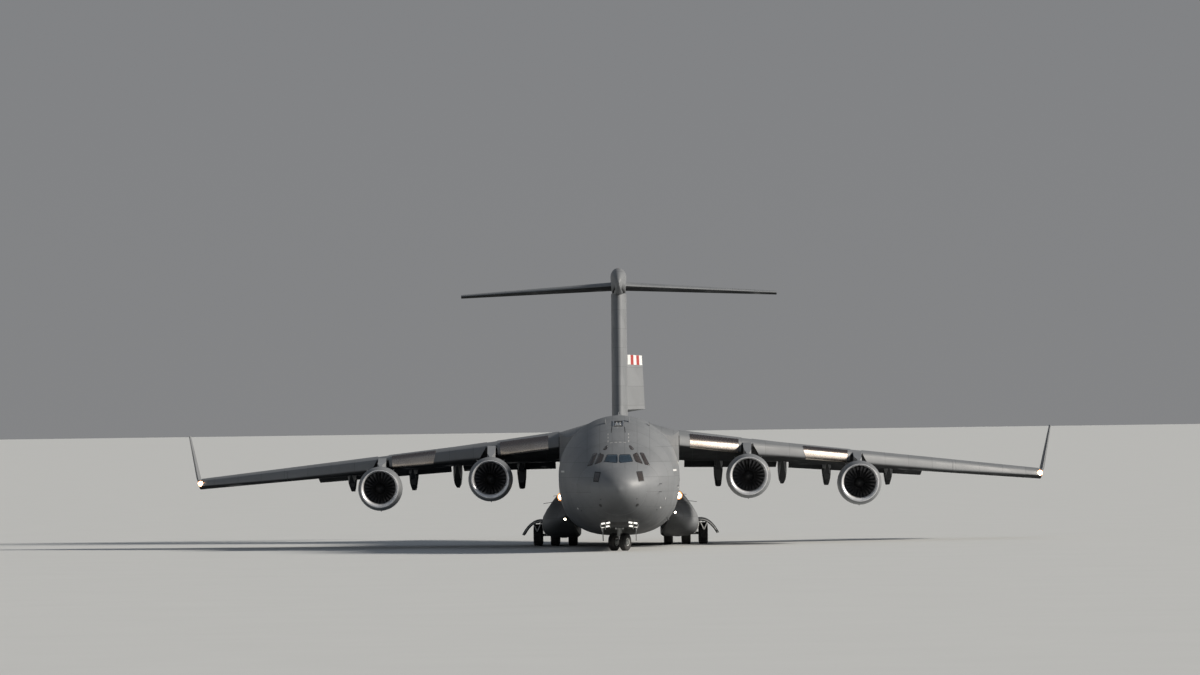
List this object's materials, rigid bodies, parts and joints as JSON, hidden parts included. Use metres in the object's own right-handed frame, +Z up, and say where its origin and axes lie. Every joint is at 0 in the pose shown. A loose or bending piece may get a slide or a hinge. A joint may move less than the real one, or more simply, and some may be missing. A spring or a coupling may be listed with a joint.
{
  "type": "four-engine military transport aeroplane, 1:2 scale model",
  "caption": "High-wing jet freighter with T-tail, parked on its gear: ramp, doors, flaps, control surfaces, fans, steering and wheels move.",
  "frame": {"origin": "on the ground below the middle of the whole aeroplane's bounding box", "axes": "+X to the aeroplane's left, +Y aft, +Z up"},
  "size_m": [25.9078, 26.52, 8.3874],
  "materials": {
    "skin_paint": "grey semi-matt aircraft paint on aluminium",
    "composite_paint": "grey semi-matt aircraft paint on composite panels",
    "nacelle_paint": "grey semi-matt paint, with a paler inlet lip",
    "fan_metal": "dark bare fan blades",
    "radome": "grey radome paint",
    "glazing": "tinted cockpit glass",
    "interior": "pale grey-green interior paint",
    "gear_paint": "white gloss gear paint",
    "tyres": "black rubber"
  },
  "bodies": {
    "airframe": {"aft_section": "skin_paint", "cargo_floor": "interior", "centre_section": "skin_paint", "fin": "composite_paint", "flight_deck": "interior", "flight_deck_glazing": "glazing", "main_gear_doors_left": "skin_paint", "main_gear_doors_right": "skin_paint", "main_gear_leg_front_left": "gear_paint", "main_gear_leg_front_right": "gear_paint", "main_gear_leg_rear_left": "gear_paint", "main_gear_leg_rear_right": "gear_paint", "nacelle_inboard_left": "nacelle_paint", "nacelle_inboard_right": "nacelle_paint", "nacelle_outboard_left": "nacelle_paint", "nacelle_outboard_right": "nacelle_paint", "nose_gear_door_left": "skin_paint", "nose_gear_door_right": "skin_paint", "nose_gear_leg": "gear_paint", "nose_section": "skin_paint", "pylon_inboard_left": "skin_paint", "pylon_inboard_right": "skin_paint", "pylon_outboard_left": "skin_paint", "pylon_outboard_right": "skin_paint", "radome": "radome", "sponson_left": "skin_paint", "sponson_right": "skin_paint", "tailplane": "composite_paint", "wing_fairing": "composite_paint", "wing_left": "skin_paint", "wing_right": "skin_paint", "winglet_left": "composite_paint", "winglet_right": "composite_paint"},
    "cargo_ramp": {"cargo_ramp": "skin_paint"},
    "cargo_door": {"cargo_door": "skin_paint"},
    "crew_door": {"crew_door": "skin_paint"},
    "flap_inboard_left": {"flap_inboard_left": "composite_paint"},
    "flap_outboard_left": {"flap_outboard_left": "composite_paint"},
    "aileron_left": {"aileron_left": "composite_paint"},
    "elevator_left": {"elevator_left": "composite_paint"},
    "fan_inboard_left": {"fan_inboard_left": "fan_metal"},
    "fan_outboard_left": {"fan_outboard_left": "fan_metal"},
    "main_wheels_front_left": {"main_wheels_front_left": "tyres"},
    "main_wheels_rear_left": {"main_wheels_rear_left": "tyres"},
    "flap_inboard_right": {"flap_inboard_right": "composite_paint"},
    "flap_outboard_right": {"flap_outboard_right": "composite_paint"},
    "aileron_right": {"aileron_right": "composite_paint"},
    "elevator_right": {"elevator_right": "composite_paint"},
    "fan_inboard_right": {"fan_inboard_right": "fan_metal"},
    "fan_outboard_right": {"fan_outboard_right": "fan_metal"},
    "main_wheels_front_right": {"main_wheels_front_right": "tyres"},
    "main_wheels_rear_right": {"main_wheels_rear_right": "tyres"},
    "rudder_lower": {"rudder_lower": "composite_paint"},
    "rudder_upper": {"rudder_upper": "composite_paint"},
    "nose_gear_fork": {"nose_gear_fork": "gear_paint"},
    "nose_wheels": {"nose_wheels": "tyres"}
  },
  "joints": [
    {"name": "ramp_hinge", "type": "hinge", "parent": "airframe", "child": "cargo_ramp", "pos_m": [0, 1.73, 0.47], "axis": [-1, 0, 0], "range_deg": [0, 20]},
    {"name": "cargo_door_hinge", "type": "hinge", "parent": "airframe", "child": "cargo_door", "pos_m": [0, 7.33, 2.17], "axis": [-1, 0, 0], "range_deg": [0, 20]},
    {"name": "crew_door_hinge", "type": "hinge", "parent": "airframe", "child": "crew_door", "pos_m": [1.38, -9.86, 0.86], "axis": [0, 1, 0], "range_deg": [0, 110]},
    {"name": "flap_inboard_left_hinge", "type": "hinge", "parent": "airframe", "child": "flap_inboard_left", "pos_m": [3.2875, -0.30943, 2.27437], "axis": [-0.9886, -0.139, 0.0582], "range_deg": [-10, 30]},
    {"name": "flap_outboard_left_hinge", "type": "hinge", "parent": "airframe", "child": "flap_outboard_left", "pos_m": [7.015, 0.66226, 2.0832], "axis": [-0.9344, -0.3464, 0.0836], "range_deg": [-10, 30]},
    {"name": "aileron_left_hinge", "type": "hinge", "parent": "airframe", "child": "aileron_left", "pos_m": [10.65, 2.17818, 1.99611], "axis": [-0.9378, -0.3372, 0.0828], "range_deg": [-25, 25]},
    {"name": "elevator_left_hinge", "type": "hinge", "parent": "airframe", "child": "elevator_left", "pos_m": [2.5625, 11.9841, 7.72564], "axis": [-0.9369, -0.3473, 0.0414], "range_deg": [-25, 20]},
    {"name": "fan_inboard_left_spin", "type": "hinge", "parent": "airframe", "child": "fan_inboard_left", "pos_m": [3.72, -5.66, 2.01], "axis": [0, 1, 0], "continuous": true},
    {"name": "fan_outboard_left_spin", "type": "hinge", "parent": "airframe", "child": "fan_outboard_left", "pos_m": [6.975, -3.935, 1.76], "axis": [0, 1, 0], "continuous": true},
    {"name": "main_wheels_front_left_spin", "type": "hinge", "parent": "airframe", "child": "main_wheels_front_left", "pos_m": [1.665, -1.235, 0.3114], "axis": [1, 0, 0], "continuous": true},
    {"name": "main_wheels_rear_left_spin", "type": "hinge", "parent": "airframe", "child": "main_wheels_rear_left", "pos_m": [1.665, 0.115, 0.3114], "axis": [1, 0, 0], "continuous": true},
    {"name": "flap_inboard_right_hinge", "type": "hinge", "parent": "airframe", "child": "flap_inboard_right", "pos_m": [-3.2875, -0.30943, 2.27437], "axis": [-0.9886, 0.139, -0.0582], "range_deg": [-10, 30]},
    {"name": "flap_outboard_right_hinge", "type": "hinge", "parent": "airframe", "child": "flap_outboard_right", "pos_m": [-7.015, 0.66226, 2.0832], "axis": [-0.9344, 0.3464, -0.0836], "range_deg": [-10, 30]},
    {"name": "aileron_right_hinge", "type": "hinge", "parent": "airframe", "child": "aileron_right", "pos_m": [-10.65, 2.17818, 1.99611], "axis": [-0.9378, 0.3372, -0.0828], "range_deg": [-25, 25]},
    {"name": "elevator_right_hinge", "type": "hinge", "parent": "airframe", "child": "elevator_right", "pos_m": [-2.5625, 11.9841, 7.72564], "axis": [-0.9369, 0.3473, -0.0414], "range_deg": [-25, 20]},
    {"name": "fan_inboard_right_spin", "type": "hinge", "parent": "airframe", "child": "fan_inboard_right", "pos_m": [-3.72, -5.66, 2.01], "axis": [0, 1, 0], "continuous": true},
    {"name": "fan_outboard_right_spin", "type": "hinge", "parent": "airframe", "child": "fan_outboard_right", "pos_m": [-6.975, -3.935, 1.76], "axis": [0, 1, 0], "continuous": true},
    {"name": "main_wheels_front_right_spin", "type": "hinge", "parent": "airframe", "child": "main_wheels_front_right", "pos_m": [-1.665, -1.235, 0.3114], "axis": [1, 0, 0], "continuous": true},
    {"name": "main_wheels_rear_right_spin", "type": "hinge", "parent": "airframe", "child": "main_wheels_rear_right", "pos_m": [-1.665, 0.115, 0.3114], "axis": [1, 0, 0], "continuous": true},
    {"name": "rudder_lower_hinge", "type": "hinge", "parent": "airframe", "child": "rudder_lower", "pos_m": [0, 8.73365, 4.79], "axis": [0, 0.6002, 0.7998], "range_deg": [-2, 86]},
    {"name": "rudder_upper_hinge", "type": "hinge", "parent": "airframe", "child": "rudder_upper", "pos_m": [0, 10.11266, 6.6275], "axis": [0, 0.6002, 0.7998], "range_deg": [-35, 35]},
    {"name": "nose_steering", "type": "hinge", "parent": "airframe", "child": "nose_gear_fork", "pos_m": [0, -10.59, 0.4], "axis": [0, 0, 1], "range_deg": [-40, 90]},
    {"name": "nose_wheels_spin", "type": "hinge", "parent": "nose_gear_fork", "child": "nose_wheels", "pos_m": [0, -10.59, 0.2452], "axis": [0.9063, -0.4226, 0], "continuous": true}
  ]
}
